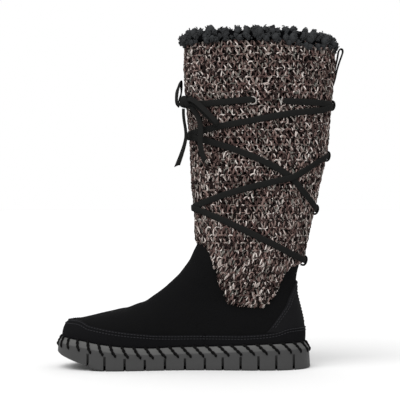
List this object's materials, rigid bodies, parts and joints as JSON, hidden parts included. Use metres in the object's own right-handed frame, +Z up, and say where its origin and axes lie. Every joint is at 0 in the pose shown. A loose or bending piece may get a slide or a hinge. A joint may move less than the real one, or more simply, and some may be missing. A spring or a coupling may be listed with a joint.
{
  "type": "mukluk boot",
  "caption": "Calf-high right mukluk: suede foot on a notched rubber sole, knitted leg with a curly fleece collar, and a suede thong crossed round the leg and tied in a bow.",
  "frame": {"origin": "on the tread of the sole, under the ankle, on the lug between the two grooves nearest the middle of the heel", "axes": "+Z up the leg, -X towards the toe, +X towards the heel, -Y towards the inner side of the foot"},
  "size_m": [0.3034, 0.1118, 0.3571],
  "materials": {
    "sole_rubber": "matte grey moulded rubber",
    "footbed": "dark pile fabric",
    "suede": "black suede",
    "knit": "chunky marled knit, brown and grey",
    "fleece": "curly charcoal fleece",
    "thong": "black suede thong"
  },
  "bodies": {
    "root": {"outsole": "sole_rubber", "insole": "footbed", "upper": "suede", "rand": "suede", "heel_counter": "suede", "shaft": "knit", "fleece_cuff": "fleece", "pull_loop": "thong", "lace_loop_1": "thong", "lace_loop_2": "thong", "lace_loop_3": "thong", "lace_loop_4": "thong", "lace_wraps": "thong", "lace_knot": "thong", "lace_bow_front": "thong", "lace_bow_side": "thong", "lace_end_front": "thong", "lace_end_side": "thong"}
  },
  "joints": []
}
